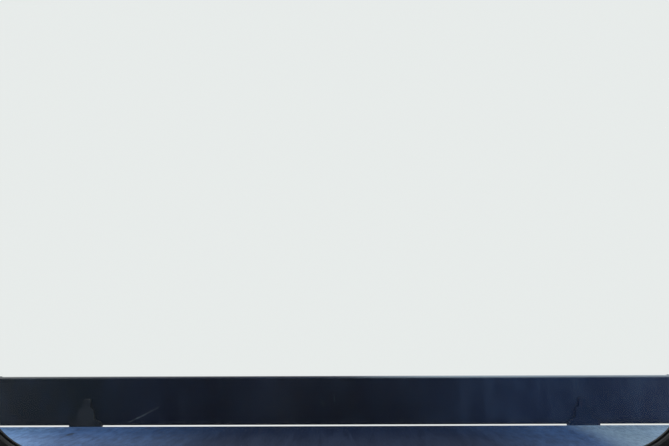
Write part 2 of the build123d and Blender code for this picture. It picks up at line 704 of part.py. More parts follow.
def blade_frame():
    """The blade's place: a plane on the glass below the arm's foot, X along the blade."""
    return wiper_frame() * Pos(WIPER_REACH_X, -BLADE_DROP, 0)


def yoke(x, half_span, low):
    """A flat arched bar that bridges two points of the blade."""
    left, right = x - half_span, x + half_span
    crown = low + YOKE_RISE
    top, crown_top = low + YOKE_THICKNESS, crown + YOKE_THICKNESS
    under = ThreePointArc((left, 0, -low), (x, 0, -crown), (right, 0, -low))
    over = ThreePointArc((left, 0, -top), (x, 0, -crown_top), (right, 0, -top))
    ends = [Line((end, 0, -low), (end, 0, -top)) for end in (left, right)]
    bridge = extrude(make_face([under, over, *ends]), amount=YOKE_WIDTH, dir=(0, 1, 0))
    return blade_frame() * Pos(0, -YOKE_WIDTH / 2, 0) * bridge


def claw(x):
    """Clip that hugs the rubber's spine from above."""
    across = (x - CLAW_LENGTH / 2, x + CLAW_LENGTH / 2)
    spine, low = SPINE_WIDTH / 2 + CLEARANCE, SPINE_THICKNESS - RUBBER_HEIGHT
    side = spine + CLAW_WALL
    clip = bar(across, (-side, side), (-RUBBER_HEIGHT - CLAW_WALL, low + CLAW_WALL))
    clip -= bar(across, (-spine, spine), (-RUBBER_HEIGHT, low))
    clip -= bar(across, (-spine / 2, spine / 2), (low, low + CLAW_WALL))
    return blade_frame() * clip


def wiper_blade():
    """Main yoke on two smaller ones, whose four claws hold the rubber."""
    small_low = RUBBER_HEIGHT + CLAW_WALL / 2
    main_low = small_low + YOKE_RISE + YOKE_THICKNESS - 1
    blade = yoke(0, CLAW_SPACING, main_low)
    for x in (-CLAW_SPACING, CLAW_SPACING):
        blade += yoke(x, CLAW_SPACING / 2, small_low)
        for end in (-CLAW_SPACING / 2, CLAW_SPACING / 2):
            blade += claw(x + end)
    seat = (-ARM_UNDER, -main_low - YOKE_RISE - 1)
    half = YOKE_WIDTH / 2
    return blade + blade_frame() * bar((-ARM_TIP_WIDTH, ARM_TIP_WIDTH), (-half, half), seat)


def wiper_rubber():
    """Squeegee: a spine that the claws hold, a thin neck and a wedge down to the glass."""
    neck_high, wedge_high = RUBBER_HEIGHT - SPINE_THICKNESS, RUBBER_HEIGHT / 2
    half_outline = [
        (SPINE_WIDTH / 2, RUBBER_HEIGHT),
        (SPINE_WIDTH / 2, neck_high),
        (SPINE_THICKNESS / 2, neck_high),
        (SPINE_THICKNESS / 2, wedge_high),
        (SPINE_WIDTH / 3, wedge_high - 1),
        (RUBBER_EDGE, RUBBER_EDGE),
    ]
    points = half_outline + [(-y, out) for y, out in reversed(half_outline)]
    section = make_face(Polyline(*[(-BLADE_LENGTH / 2, y, -out) for y, out in points], close=True))
    return blade_frame() * extrude(section, amount=BLADE_LENGTH, dir=(1, 0, 0))


def lower_lining():
    """Lining board between the pillars, grooved in line with the posts behind it."""
    front = SILL_DEPTH - WAIST_SIZE
    z = (SILL_TOP, WAIST_TOP - SEAM)
    board = bar((-PILLAR_IN + SEAM, PILLAR_IN - SEAM), (front - LINING, front), z)
    for side in (-1, 1):
        groove = Pos(side * POST_X, front - LINING, 0) * Rot(0, 0, 45)
        board -= groove * Box(LINING_GROOVE, LINING_GROOVE, 4 * WAIST_TOP)
    return board


def window_board():
    """Board on the waist beam below the glass, with a rounded nose and a row of demister slots."""
    front = on_screen(0, -GLASS_THICKNESS - RUBBER_LIP)[0] - SEAM
    end = PILLAR_IN - TRIM - SEAM
    top = WAIST_TOP + BOARD_THICKNESS
    board = bar((-end, end), (front - BOARD_DEPTH, front), (WAIST_TOP, top))
    board = fillet(board.edges().filter_by(Axis.X).sort_by(Axis.Y)[:2], BOARD_NOSE)
    slot = extrude(SlotOverall(VENT_LENGTH, VENT_WIDTH), amount=VENT_DEPTH)
    for n in range(VENT_COUNT):
        x = (n - (VENT_COUNT - 1) / 2) * VENT_PITCH
        board -= Pos(x, front - VENT_INSET, top - VENT_DEPTH) * slot
    return board


def pillar_trim():
    """Flat lining that closes the pillar's channel."""
    rear = PILLAR_WALL + SHEET
    lining_y = SILL_DEPTH - WAIST_SIZE - LINING - SEAM
    step_z = WAIST_TOP + BOARD_THICKNESS + SEAM
    front_out = SKIN_IN - 2 * SHEET
    top = joint_levels()[2][0] - SEAM
    outline = [
        (rear, SILL_TOP + SEAM),
        (lining_y, SILL_TOP + SEAM),
        (lining_y, step_z),
        (screen_y(step_z, front_out), step_z),
        (screen_y(top, front_out), top),
        (rear, top),
    ]
    return side_prism(outline, PILLAR_IN - TRIM, PILLAR_IN)


def screen_lining():
    """Inner lining between the gasket and the pillar trim, rounded to the gasket's corners."""
    across = (LINING_INNER_X, PILLAR_IN - TRIM - CLEARANCE)
    out = (SKIN_IN - SHEET - TRIM, SKIN_IN - SHEET)
    lining = panel_block(SCREEN, across, (-LINING_TAIL, SOFFIT_LOW - SEAM), out)
    return lining - opening(RUBBER_WIDTH + SEAM, 0, 4 * TRIM)


def header_trim():
    """Angle-shaped cover behind the header and below the wiper's motor."""
    back = SKIN_IN - HEADER_DEPTH
    front = -GLASS_THICKNESS - RUBBER_LIP - SEAM
    end = PILLAR_IN - TRIM - SEAM
    high = DAYLIGHT_HEIGHT + HEADER_CLEARANCE + HEADER_HEIGHT - SHEET
    upright = panel_block(SCREEN, (-end, end), (SOFFIT_LOW, high), (back - HEADER_TRIM, back))
    return upright + panel_block(SCREEN, (-end, end), (SOFFIT_LOW, SOFFIT_HIGH), (back, front))


def write(name, part):
    os.makedirs("parts", exist_ok=True)
    export_step(part, os.path.join("parts", name + ".step"))


def main():
    single = {
        "sill_beam": sill_beam(),
        "waist_beam": waist_beam(),
        "header_beam": header_beam(),
        "roof_rail": roof_rail(),
        "roof_brow": roof_brow(),
        "lower_posts": lower_posts(),
        "ledge_bearers": ledge_bearers(),
        "nose_front_rail": nose_front_rail(),
        "ledge_gussets": ledge_gussets(),
        "skirt_rail": skirt_rail(),
        "skirt_arms": skirt_arms(),
        "front_ledge": front_ledge(),
        "apron_panel": apron_panel(),
        "screen_gasket": screen_gasket(),
        "windscreen_glass": windscreen_glass(),
        "guard_beam": guard_beam(),
        "wiper_motor": wiper_motor(),
        "wiper_spindle": wiper_spindle(),
        "wiper_arm": wiper_arm(),
        "wiper_blade": wiper_blade(),
        "wiper_rubber": wiper_rubber(),
        "lower_lining": lower_lining(),
        "window_board": window_board(),
        "header_trim": header_trim(),
        "lower_screen_panel": screen_strip(-SURROUND_DROP, -APERTURE),
        "upper_screen_panel": screen_strip(DAYLIGHT_HEIGHT + APERTURE, SURROUND_HIGH)
        - disc(wiper_frame(), BOSS_RADIUS, SKIN_IN - SHEET, SHEET),
    }
    paired = {
        "pillar": pillar(),
        "side_panel": side_panel(),
        "side_surround": side_surround(),
        "beam_bracket": beam_bracket(),
        "beam_cap": beam_cap(),
        "pillar_trim": pillar_trim(),
        "screen_lining": screen_lining(),
        "headlamp_can": headlamp_can(LAMP_X),
        "headlamp_rim": headlamp_rim(LAMP_X),
        "headlamp_lens": headlamp_lens(LAMP_X),
    }
    for name, part in single.items():
        write(name, part)
    for name, part in paired.items():
        for side, piece in both_sides(part).items():
            write(side + "_" + name, piece)


main()
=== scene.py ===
import json
from math import cos, hypot, pi, radians, sin

import bmesh
import bpy
from mathutils import Matrix, Vector


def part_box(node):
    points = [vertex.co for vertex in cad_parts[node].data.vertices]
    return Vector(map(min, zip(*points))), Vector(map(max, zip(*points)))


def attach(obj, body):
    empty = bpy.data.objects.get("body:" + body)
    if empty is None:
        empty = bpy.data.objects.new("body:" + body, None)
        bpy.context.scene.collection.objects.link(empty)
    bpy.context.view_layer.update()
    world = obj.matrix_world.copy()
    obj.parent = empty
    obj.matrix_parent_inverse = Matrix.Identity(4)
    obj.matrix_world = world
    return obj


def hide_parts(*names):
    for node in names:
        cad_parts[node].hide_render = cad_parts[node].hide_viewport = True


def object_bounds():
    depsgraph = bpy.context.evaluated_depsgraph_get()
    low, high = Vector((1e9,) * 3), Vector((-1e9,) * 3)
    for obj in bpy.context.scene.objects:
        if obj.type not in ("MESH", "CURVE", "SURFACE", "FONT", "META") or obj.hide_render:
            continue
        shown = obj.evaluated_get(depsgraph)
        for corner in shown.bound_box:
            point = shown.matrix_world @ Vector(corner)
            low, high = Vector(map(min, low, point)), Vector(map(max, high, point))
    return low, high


# Front end of a funicular car, seen from inside through its windscreen. Metres, in the frame of
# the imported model: X across the car, Y out of its end, Z up.
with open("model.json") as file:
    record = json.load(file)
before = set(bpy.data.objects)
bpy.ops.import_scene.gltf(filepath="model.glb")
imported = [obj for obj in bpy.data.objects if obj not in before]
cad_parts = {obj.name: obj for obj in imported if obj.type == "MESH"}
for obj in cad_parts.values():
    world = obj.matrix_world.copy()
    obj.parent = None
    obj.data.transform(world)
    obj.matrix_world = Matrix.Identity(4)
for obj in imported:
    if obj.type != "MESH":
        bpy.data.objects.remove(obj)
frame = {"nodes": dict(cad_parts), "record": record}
cad_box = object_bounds()

# Camera: its place, the way it is turned, and its lens
EYE = Vector((-0.0027, -1.0033, 1.4226))
PITCH = radians(9.99)
YAW = radians(0.1)
ROLL = radians(-0.16)
FOCAL_PIXELS = 501.0
PICTURE_WIDTH = 669.0
SENSOR = 36.0

# Studio: grey of its background, strength of the light from all round, and the round floor, which
# runs out into the background between two distances
PALE = 0.86
LIGHT_LEVEL = 0.50
FLOOR_RADIUS = 16.0
FLOOR_FADE = (2.6, 7.5)

# Soft lamps: name, place, power and size
STUDIO_LAMPS = (
    ("key", (-5.0, 4.2, 6.0), 360, 3.0),
    ("fill", (5.5, 4.0, 3.0), 90, 3.5),
    ("inside", (1.5, -4.0, 6.0), 120, 3.5),
)

# Directions
RIGHT = Vector((1, 0, 0))
OUTWARD = Vector((0, 1, 0))
UPWARD = Vector((0, 0, 1))

# Raked windscreen: foot of its glass on the centre line, clear opening, and the sheets round it
RAKE = radians(9)
SCREEN_OUT = Vector((0, cos(RAKE), sin(RAKE)))
SCREEN_UP = Vector((0, -sin(RAKE), cos(RAKE)))
SCREEN_FOOT = Vector((0.0, 0.340, 1.070))
DAYLIGHT_WIDTH = 1.780
DAYLIGHT_HEIGHT = 1.380
DAYLIGHT_RADIUS = 0.180
SURROUND_TOP = 1.540
SKIN_OUT = -0.002

# Apron: its lean and the depth of its top edge
APRON_RAKE = radians(5)
APRON_OUT = Vector((0, cos(APRON_RAKE), -sin(APRON_RAKE)))
APRON_DOWN = Vector((0, -sin(APRON_RAKE), -cos(APRON_RAKE)))
APRON_TOP_Y = 0.7907

# Outer face of the side sheets, and how far their rivets lie behind the front sheets
PANEL_X = 1.196
SIDE_ROW = 0.048

# Ledge: its front edge, where it is palest and its painted shade towards the glass begins, a dark spot
# in X and Y, and the height of its flange's rivets
LEDGE_FRONT = 0.80
LEDGE_SPOT = (-0.843, 0.685)
FLANGE_RISE = 0.016

# Scratches on the back of the beam: two ends in X and Z, and a width
BEAM_SCRATCHES = (
    ((-0.710, 1.049), (-0.607, 1.098), 0.0016),
    ((-0.690, 1.057), (-0.645, 1.076), 0.0014),
    ((-0.048, 1.124), (-0.041, 1.105), 0.0012),
    ((-0.003, 1.138), (0.000, 1.105), 0.0014),
    ((0.227, 1.066), (0.230, 1.048), 0.0014),
)

# Angle in degrees from which an edge stays sharp
CREASE = 35

# Radii of the fasteners' heads, and how far these sink into what they hold
RIVET = 0.0052
SURROUND_SCREW = 0.0058
LINING_SCREW = 0.0050
BRACKET_BOLT = 0.0105
RIM_SCREW = 0.0042
HEAD_SINK = 0.0005

# Filler strip: how far outside the clear opening it runs, and its height over the glass
STRIP_GROW = 0.0165
STRIP_OUT = 0.008

# Beads of weld and sealant, width and height, and the steps of their sections and paths
CAP_BEAD = (0.007, 0.0022)
SEAT_BEAD = (0.008, 0.0028)
FOOT_BEAD = (0.007, 0.0025)
SILL_BEAD = (0.010, 0.0035)
GUSSET_BEAD = (0.008, 0.003)
STRIP_BEAD = (0.0095, 0.0026)
SEALANT_BEAD = (0.014, 0.006)
WELD_STEPS = 6
SEALANT_STEPS = 8
WELD_STEP = 0.004
SEALANT_STEP = 0.012

# Beam's rounded corners, and bolts and seat of its brackets
BEAM_CORNER = 0.008
CORNER_STEPS = 6
BRACKET_BOLT_X = 0.026
BRACKET_BOLT_RISE = 0.055
SEAT_HALF = 0.040
SEAT_DROP = 0.0105
FOOT_THICK = 0.014

# Half a plate's thickness, the gussets' places, and the ends of the welds on seat, gusset and sill
PLATE_HALF = 0.005
GUSSET_X = 0.38
SEAT_GAP = 0.003
GUSSET_GAP = 0.004
SILL_WELD_Y = (0.012, 0.222)

# Headlamps: place on the apron, domed lens with its upright flutes, bowl and bulb. A height is
# taken out from the apron's face.
LAMP_X = 0.820
LAMP_DROP = 0.320
LENS_RADIUS = 0.087
LENS_ROOT = 0.078
LENS_SEAT = 0.0845
LENS_OUT = 0.0117
LENS_BACK = 0.0044
LENS_RISE = 0.012
LENS_THICK = 0.0045
LENS_TIP = 0.0008
LENS_CREASE = 50
FLUTE_PITCH = 0.010
FLUTE_DEPTH = 0.0011
BOWL_RADIUS = 0.0852
BOWL_WALL = 0.0006
BOWL_LIP = 0.0036
BOWL_HOLE = 10.2
BULB_FOOT = -0.062
RIM_REACH = 0.0895
RIM_OUT = 0.016

# Wiper: pivot and middle of the blade, across and up the screen, and heights over the glass
WIPER_X = -0.500
WIPER_UP = DAYLIGHT_HEIGHT + 0.061
BLADE_X = 0.230
BLADE_UP = WIPER_UP - 0.106
HUB_OUT = 0.041
ARM_PIN_OUT = 0.0305
ARM_PIN_ALONG = 0.088
YOKE_PIN_OUT = 0.0205
YOKE_PIN_X = 0.2

# Wiper's pins: length, radii of head and shaft, the head's chamfer and thickness, and the neck
ARM_PIN = (0.0344, 0.0042, 0.0026, 0.0008, 0.0022)
YOKE_PIN = (0.0124, 0.0028, 0.0018, 0.0006, 0.0014)
PIN_NECK = 0.0002

# Spring of the wiper's arm
SPRING_OUT = 0.0315
SPRING_ALONG = 0.124
SPRING_RADIUS = 0.0034
SPRING_PITCH = 0.0042
SPRING_WIRE = 0.0007
SPRING_TURNS = 15
SPRING_STEPS = 14


class Value:
    """A socket of a finish, wrapped so that maths on it reads as a plain expression."""

    def __init__(self, finish, socket):
        self.finish = finish
        self.socket = socket

    def maths(self, operation, *values):
        return self.finish.node("Math", {"operation": operation}, values)["Value"]

    def __add__(self, other):
        return self.maths("ADD", self, other)

    def __radd__(self, other):
        return self.maths("ADD", other, self)

    def __sub__(self, other):
        return self.maths("SUBTRACT", self, other)

    def __rsub__(self, other):
        return self.maths("SUBTRACT", other, self)

    def __mul__(self, other):
        return self.maths("MULTIPLY", self, other)

    def __rmul__(self, other):
        return self.maths("MULTIPLY", other, self)

    def __pow__(self, other):
        return self.maths("POWER", self, other)

    def __abs__(self):
        return self.maths("ABSOLUTE", self)

    def highest(self, other):
        return self.maths("MAXIMUM", self, other)


class Finish:
    """A procedural material, or world, in the making. Places are the car's own, in metres."""

    def __init__(self, name, made=None):
        self.material = made or bpy.data.materials.new(name)
        self.material.use_nodes = True
        self.tree = self.material.node_tree
        self.tree.nodes.clear()
        self.place = self.node("TexCoord")["Object"]
        parts = self.node("SeparateXYZ", {}, [self.place])
        self.x, self.y, self.z = parts["X"], parts["Y"], parts["Z"]

    def node(self, kind, settings=None, sockets=()):
        """Adds a node: its settings first, then its sockets' values or links, by order or by name."""
        made = self.tree.nodes.new("ShaderNode" + kind)
        for key, value in (settings or {}).items():
            setattr(made, key, value)
        live = [socket for socket in made.inputs if socket.enabled]
        wanted = sockets if isinstance(sockets, dict) else dict(enumerate(sockets))
        for key, value in wanted.items():
            socket = live[key] if isinstance(key, int) else next(s for s in live if s.name == key)
            if isinstance(value, Value):
                self.tree.links.new(value.socket, socket)
            else:
                socket.default_value = value
        return {socket.name: Value(self, socket) for socket in made.outputs if socket.enabled}

    def clouds(self, scale, detail=4.0, stretch=(1, 1, 1), roughness=0.5):
        """Cloudy variation about 0.5. A share below 1 in the stretch draws it out along that axis."""
        where = self.node("VectorMath", {"operation": "MULTIPLY"}, [self.place, stretch])["Vector"]
        sockets = {"Vector": where, "Scale": scale, "Detail": detail, "Roughness": roughness}
        return self.node("TexNoise", {}, sockets)["Fac"]

    def cells(self, scale):
        """Distance to the nearest of many scattered points."""
        return self.node("TexVoronoi", {}, {"Vector": self.place, "Scale": scale})["Distance"]

    def rise(self, value, low, high):
        """0 below low and 1 above high, smooth between them. With low above high it falls instead."""
        sockets = {"Value": value, "From Min": low, "From Max": high}
        return self.node("MapRange", {"interpolation_type": "SMOOTHSTEP"}, sockets)["Result"]

    def blend(self, first, second, share):
        sockets = {"Factor": share, "A": first, "B": second}
        return self.node("Mix", {"data_type": "RGBA"}, sockets)["Result"]

    def edges(self, radius):
        """1 on sharp edges, for wear."""
        soft = self.node("Bevel", {"samples": 6}, {"Radius": radius})["Normal"]
        true = self.node("NewGeometry")["Normal"]
        along = self.node("VectorMath", {"operation": "DOT_PRODUCT"}, [soft, true])["Value"]
        return self.rise(along, 0.99, 0.80)

    def wear(self, radius, scale, low, high, detail=4.0):
        """1 on patches of the sharp edges, where the paint is rubbed."""
        return self.edges(radius) * self.rise(self.clouds(scale, detail), low, high)

    def facing(self, axis):
        """How far a face looks along an axis of the car, from -1 to 1."""
        return self.node("SeparateXYZ", {}, [self.node("NewGeometry")["Normal"]])[axis]

    def bump(self, height, strength, distance):
        sockets = {"Strength": strength, "Distance": distance, "Height": height}
        return self.node("Bump", {}, sockets)["Normal"]

    def show(self, shader):
        self.node("OutputMaterial", {}, {"Surface": shader})
        return self.material

    def painted(self, colour, roughness, others):
        """Ends the finish as one principled surface."""
        sockets = {"Base Color": colour, "Roughness": roughness, **others}
        return self.show(self.node("BsdfPrincipled", {}, sockets)["BSDF"])


def shade(red, green, blue):
    """A colour given as it looks on a screen, 0 to 255, as the light values that shaders use."""
    parts = [c / 255 for c in (red, green, blue)]
    return (*[c / 12.92 if c <= 0.04045 else ((c + 0.055) / 1.055) ** 2.4 for c in parts], 1.0)


def scratch(finish, start, end, width):
    """1 on a thin line on an upright face, between two points of X and Z."""
    across, up = end[0] - start[0], end[1] - start[1]
    length = hypot(across, up)
    across, up = across / length, up / length
    run = (finish.x - start[0]) * across + (finish.z - start[1]) * up
    off = abs((finish.x - start[0]) * up - (finish.z - start[1]) * across)
    inside = finish.rise(run, -width, width) * finish.rise(run, length + width, length - width)
    return inside * finish.rise(off, width, width / 3)


def beam_finish(low):
    """Blue-black paint, cloudy and rain-streaked, with dust and a painted highlight on its top,
    stronger towards the right, and a few pale scratches.
    """
    finish = Finish("beam_paint")
    cloud = finish.clouds(2.2, 6)
    rain = finish.clouds(7, 5, (1, 1, 0.15))
    grime = finish.clouds(70, 6, roughness=0.7)
    tone = finish.rise(cloud * 0.45 + rain * 0.30 + grime * 0.25, 0.36, 0.64)
    colour = finish.blend(shade(4, 9, 26), shade(16, 25, 47), tone)
    right = finish.rise(finish.x, 0.10, 0.75)
    left = finish.rise(finish.x, -0.55, -1.0)
    colour = finish.blend(colour, shade(42, 60, 97), right * 0.72)
    colour = finish.blend(colour, shade(22, 40, 44), left * 0.40)
    mottle = finish.rise(finish.clouds(14, 7, (1, 1, 0.45), 0.75), 0.40, 0.68)
    grain = finish.rise(finish.clouds(75, 6, (1, 1, 0.7), 0.8), 0.38, 0.66)
    colour = finish.blend(colour, shade(54, 66, 88), mottle * 0.22 + grain * 0.16)
    colour = finish.blend(colour, shade(72, 100, 142), right * mottle * 0.20)
    colour = finish.blend(colour, shade(10, 16, 18), left * (1 - mottle) * 0.30)
    foot = finish.rise(finish.z + rain * 0.02, low.z + 0.035, low.z + 0.012)
    colour = finish.blend(colour, shade(40, 48, 60), foot * 0.25)
    # Dust and painted highlight: pale colour on the top faces, rising towards the right end, where
    # light falls on them.
    dust_and_sheen = finish.rise(finish.facing("Z"), 0.35, 0.9) * finish.rise(finish.x + rain * 0.2, 0.0, 0.55)
    colour = finish.blend(colour, shade(150, 164, 178), dust_and_sheen * (0.55 + cloud * 0.4))
    back = finish.rise(finish.y, low.y + 0.004, low.y + 0.001)
    marks = scratch(finish, *BEAM_SCRATCHES[0])
    for place in BEAM_SCRATCHES[1:]:
        marks = marks.highest(scratch(finish, *place))
    broken = finish.rise(finish.clouds(160, 2), 0.40, 0.52)
    colour = finish.blend(colour, shade(96, 108, 118), marks * broken * back * 0.8)
    worn = finish.wear(0.003, 40, 0.52, 0.64) * (1 - back)
    colour = finish.blend(colour, shade(78, 86, 96), worn * 0.5)
    skin = finish.clouds(190, 2)
    normal = finish.bump(skin + marks * back * -2.0, 0.05, 0.0005)
    roughness = 0.46 + tone * 0.12 + foot * 0.2
    return finish.painted(colour, roughness, {"Normal": normal, "Specular IOR Level": 0.10})


def bracket_finish():
    """The beam's paint on its brackets: greyer at the left, chipped along the cut edges, rusty."""
    finish = Finish("bracket_paint")
    cloud = finish.clouds(16, 5)
    tone = finish.rise(cloud, 0.38, 0.66)
    right = finish.rise(finish.x, -0.2, 0.2)
    colour = finish.blend(shade(32, 38, 46), shade(46, 52, 60), tone)
    colour = finish.blend(colour, shade(37, 55, 88), right * (0.90 + tone * 0.10))
    rust = finish.rise(finish.clouds(34, 6, (1, 1, 0.25)), 0.60, 0.70)
    colour = finish.blend(colour, shade(84, 58, 42), rust * (0.5 - right * 0.35))
    worn = finish.wear(0.002, 60, 0.46, 0.58)
    colour = finish.blend(colour, shade(104, 110, 118), worn * 0.6)
    normal = finish.bump(finish.clouds(240, 3), 0.10, 0.0005)
    roughness = 0.50 + cloud * 0.2
    return finish.painted(colour, roughness, {"Normal": normal, "Specular IOR Level": 0.12})


def ledge_finish():
    """Worn blue-grey paint, streaked, with painted light on its top: painted highlights towards both
    ends, brightest at the right, and painted shade from the front edge towards the glass.
    """
    finish = Finish("ledge_metal")
    streaks = finish.clouds(34, 5, (1, 0.16, 0.3))
    fine = finish.clouds(140, 4, (1, 0.12, 0.3))
    cloud = finish.clouds(3.0, 5)
    tone = finish.rise(streaks * 0.6 + fine * 0.4, 0.38, 0.62)
    # Base tone, made as light as the strip by the front edge; the painted shade further on darkens the
    # rest.
    colour = finish.blend(shade(36, 48, 77), shade(42, 56, 87), tone)
    top = finish.rise(finish.facing("Z"), 0.3, 0.9)
    side = abs(finish.x - 0.04) + (cloud - 0.5) * 0.20 + (streaks - 0.5) * 0.05
    # Painted highlight: the top grows paler and bluer towards both ends, where light falls on it.
    painted_end_light = finish.rise(side, 0.30, 0.90)
    mottle = finish.rise(finish.clouds(60, 7, (1, 0.45, 1), 0.7), 0.34, 0.66)
    colour = finish.blend(colour, shade(98, 137, 202), painted_end_light * (0.46 + mottle * 0.54))
    # Painted highlight: pale blue glare on the top at the very ends.
    painted_end_glare = finish.rise(side, 0.86, 1.08) * top
    colour = finish.blend(colour, shade(144, 187, 246), painted_end_glare * (0.46 + mottle * 0.50))
    # Painted highlight: the brightest painted light, on the top at the right end.
    painted_right_glare = finish.rise(finish.x + (cloud - 0.5) * 0.10, 0.75, 0.90) * top
    colour = finish.blend(colour, shade(190, 223, 255), painted_right_glare * (0.80 + mottle * 0.20))
    # Darker specks that mottle the painted highlights at the ends.
    speck = finish.rise(finish.clouds(120, 6, (1, 0.28, 1), 0.75), 0.44, 0.60)
    colour = finish.blend(colour, shade(74, 100, 150), speck * top * (painted_end_light * 0.16 + painted_right_glare * 0.20))
    # Painted shade: darker from the front edge towards the glass, less where the end glare is painted;
    # with the light base tone it evens out the shade that the beam casts by the front edge.
    rear = finish.rise(finish.y + (cloud - 0.5) * 0.03, LEDGE_FRONT, LEDGE_FRONT - 0.16)
    colour = finish.blend(colour, shade(8, 11, 18), rear * (0.50 - painted_end_glare * 0.18))
    calm = finish.blend(shade(48, 60, 85), shade(52, 65, 90), mottle)
    colour = finish.blend(colour, calm, (1 - top) * 0.96)
    drops = finish.rise(finish.cells(70), 0.16, 0.10) * finish.rise(finish.clouds(6), 0.5, 0.62)
    colour = finish.blend(colour, shade(30, 36, 46), drops * 0.5)
    spot_x, spot_y = finish.x - LEDGE_SPOT[0], finish.y - LEDGE_SPOT[1]
    spot = finish.rise((spot_x * spot_x + spot_y * spot_y * 0.2) ** 0.5, 0.012, 0.006)
    colour = finish.blend(colour, shade(40, 48, 60), spot * 0.8)
    worn = finish.wear(0.004, 60, 0.42, 0.60)
    colour = finish.blend(colour, shade(126, 140, 152), worn * 0.6)
    normal = finish.bump(streaks * 0.5 + fine * 0.5, 0.05, 0.0006)
    roughness = 0.46 + tone * 0.15 + painted_end_glare * 0.1
    return finish.painted(colour, roughness, {"Normal": normal, "Specular IOR Level": 0.10})


def body_finish(foot_z):
    """Satin blue-grey paint, rain-washed and dusty low down, and primer on the sheets' inner sides."""
    finish = Finish("body_paint")
    cloud = finish.clouds(1.6, 5)
    rain = finish.clouds(16, 5, (1, 1, 0.06))
    colour = finish.blend(shade(83, 99, 124), shade(90, 107, 133), finish.rise(cloud, 0.35, 0.65))
    colour = finish.blend(colour, shade(76, 89, 110), finish.rise(rain, 0.50, 0.74) * 0.22)
    height = finish.z + (cloud - 0.5) * 0.35 + (rain - 0.5) * 0.2
    dust_and_sheen = finish.rise(height, foot_z + 0.45, foot_z)
    colour = finish.blend(colour, shade(116, 114, 108), dust_and_sheen * 0.4)
    chips = finish.rise(finish.cells(34), 0.075, 0.05) * finish.rise(finish.clouds(9, 3), 0.50, 0.58)
    colour = finish.blend(colour, shade(58, 64, 76), chips * 0.7)
    worn = finish.wear(0.003, 55, 0.52, 0.64)
    colour = finish.blend(colour, shade(126, 138, 154), worn * 0.5)
    inward = (finish.facing("Y") * -1.0).highest(finish.facing("X") * finish.x * -1.0)
    inside = finish.rise(inward, 0.5, 0.8)
    colour = finish.blend(colour, shade(70, 73, 76), inside)
    sheet = finish.clouds(5.5, 2)
    peel = finish.clouds(420, 2)
    normal = finish.bump(peel * 0.1 + sheet * 1.5, 0.10, 0.0012)
    roughness = 0.32 + (dust_and_sheen * 0.35).highest(inside * 0.35) + (rain - 0.5) * 0.1
    return finish.painted(colour, roughness, {"Normal": normal, "Coat Weight": 0.2})


def frame_finish():
    """Dark grey primer on the steel tubes, dusty on top and lightly rusted at edges."""
    finish = Finish("frame_paint")
    cloud = finish.clouds(2.4, 4)
    colour = finish.blend(shade(56, 59, 62), shade(66, 69, 72), finish.rise(cloud, 0.30, 0.70))
    rust = finish.wear(0.003, 35, 0.52, 0.60, 5)
    colour = finish.blend(colour, shade(104, 70, 48), rust * 0.7)
    patchy = 0.6 + finish.rise(finish.clouds(12, 7), 0.3, 0.7) * 0.4
    dust_and_sheen = finish.rise(finish.facing("Z"), 0.6, 1.0) * patchy
    colour = finish.blend(colour, shade(112, 109, 103), dust_and_sheen * 0.36)
    normal = finish.bump(finish.clouds(300, 3), 0.12, 0.0006)
    return finish.painted(colour, 0.55 + cloud * 0.2, {"Normal": normal})


def weld_finish():
    """Weld metal under thin primer: grey, with scale in the hollows of its ripples."""
    finish = Finish("weld")
    scale = finish.rise(finish.clouds(180, 5), 0.40, 0.62)
    colour = finish.blend(shade(60, 62, 66), shade(92, 88, 84), scale)
    normal = finish.bump(finish.clouds(500, 3), 0.2, 0.0004)
    return finish.painted(colour, 0.45 + scale * 0.2, {"Normal": normal, "Metallic": 0.6})


def rubber_finish():
    """Black rubber, bloomed grey where it is not rubbed."""
    finish = Finish("rubber")
    bloom = finish.rise(finish.clouds(24, 6), 0.38, 0.70)
    colour = finish.blend(shade(17, 19, 21), shade(36, 39, 42), bloom)
    normal = finish.bump(finish.clouds(500, 2), 0.15, 0.0004)
    roughness = 0.55 + bloom * 0.25
    return finish.painted(colour, roughness, {"Normal": normal, "Specular IOR Level": 0.3})


def sealant_finish():
    """Black sealing compound, tooled smooth and a little dusty."""
    finish = Finish("sealant")
    dust_and_sheen = finish.rise(finish.clouds(30, 5), 0.48, 0.72)
    colour = finish.blend(shade(20, 21, 24), shade(58, 58, 58), dust_and_sheen * 0.5)
    normal = finish.bump(finish.clouds(90, 3), 0.2, 0.0008)
    return finish.painted(colour, 0.42 + dust_and_sheen * 0.3, {"Normal": normal})


def glass_finish(name, least, most, tint, ribs=0.0):
    """Clear glass: see-through, mirroring more at a flat angle, with faint smears and perhaps ribs."""
    finish = Finish(name)
    facing = finish.node("LayerWeight", {}, {"Blend": 0.5})["Facing"]
    streak = finish.clouds(3.5, 6, (1, 1, 0.5))
    film = finish.rise(streak, 0.50, 0.80) * least
    see = finish.node("BsdfTransparent", {}, {"Color": tint})["BSDF"]
    mirror = finish.node("BsdfGlossy", {}, {"Color": (1, 1, 1, 1), "Roughness": 0.02})["BSDF"]
    share = facing ** 3 * most + film + least
    if ribs:
        wave = abs(finish.x.maths("SINE", finish.x * (pi / FLUTE_PITCH)))
        share = share + finish.rise(wave, 0.45, 0.0) * ribs
    mixed = finish.node("MixShader", {}, {0: share, 1: see, 2: mirror})["Shader"]
    return finish.show(mixed)


def reflector_finish():
    """Pressed aluminium bowl, polished, with faint stains and ripples from its pressing."""
    finish = Finish("lamp_metal")
    stain = finish.rise(finish.clouds(30, 5), 0.45, 0.75)
    colour = finish.blend(shade(226, 228, 230), shade(196, 194, 188), stain)
    normal = finish.bump(finish.clouds(120, 3), 0.08, 0.0005)
    return finish.painted(colour, 0.10 + stain * 0.18, {"Normal": normal, "Metallic": 1.0})


